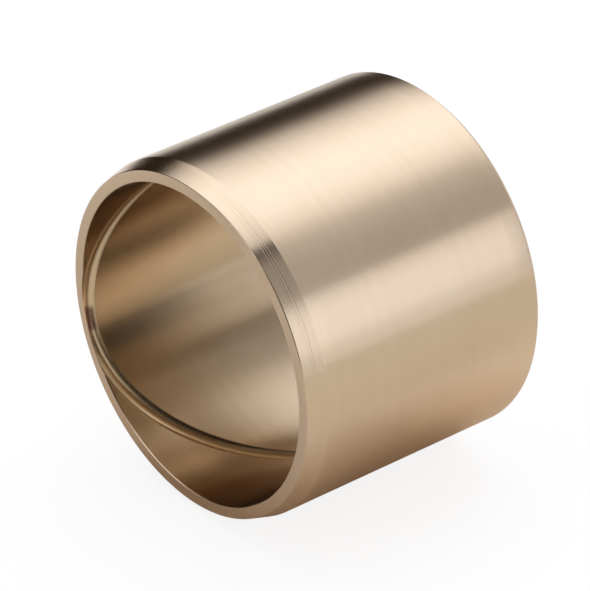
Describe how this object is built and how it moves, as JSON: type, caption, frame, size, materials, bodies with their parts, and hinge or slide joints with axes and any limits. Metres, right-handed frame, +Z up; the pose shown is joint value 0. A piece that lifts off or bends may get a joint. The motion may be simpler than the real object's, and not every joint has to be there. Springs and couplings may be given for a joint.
{
  "type": "sleeve bushing",
  "caption": "Plain cylindrical bronze sleeve bushing with a long lead-in taper on one end and an oil groove that loops round the bore from end to end.",
  "frame": {"origin": "middle of the bore, on its axis, halfway between the two end faces", "axes": "bore axis along Y, with the lead-in taper on the -Y end; +Z up as the sleeve lies on its side; the groove's turn nearest the -Y end is 198 degrees round from +X towards +Z"},
  "size_m": [0.05, 0.0396, 0.05],
  "materials": {
    "bronze": "fine turned, satin, slightly warm grey gold"
  },
  "bodies": {
    "root": {"sleeve": "bronze"}
  },
  "joints": []
}
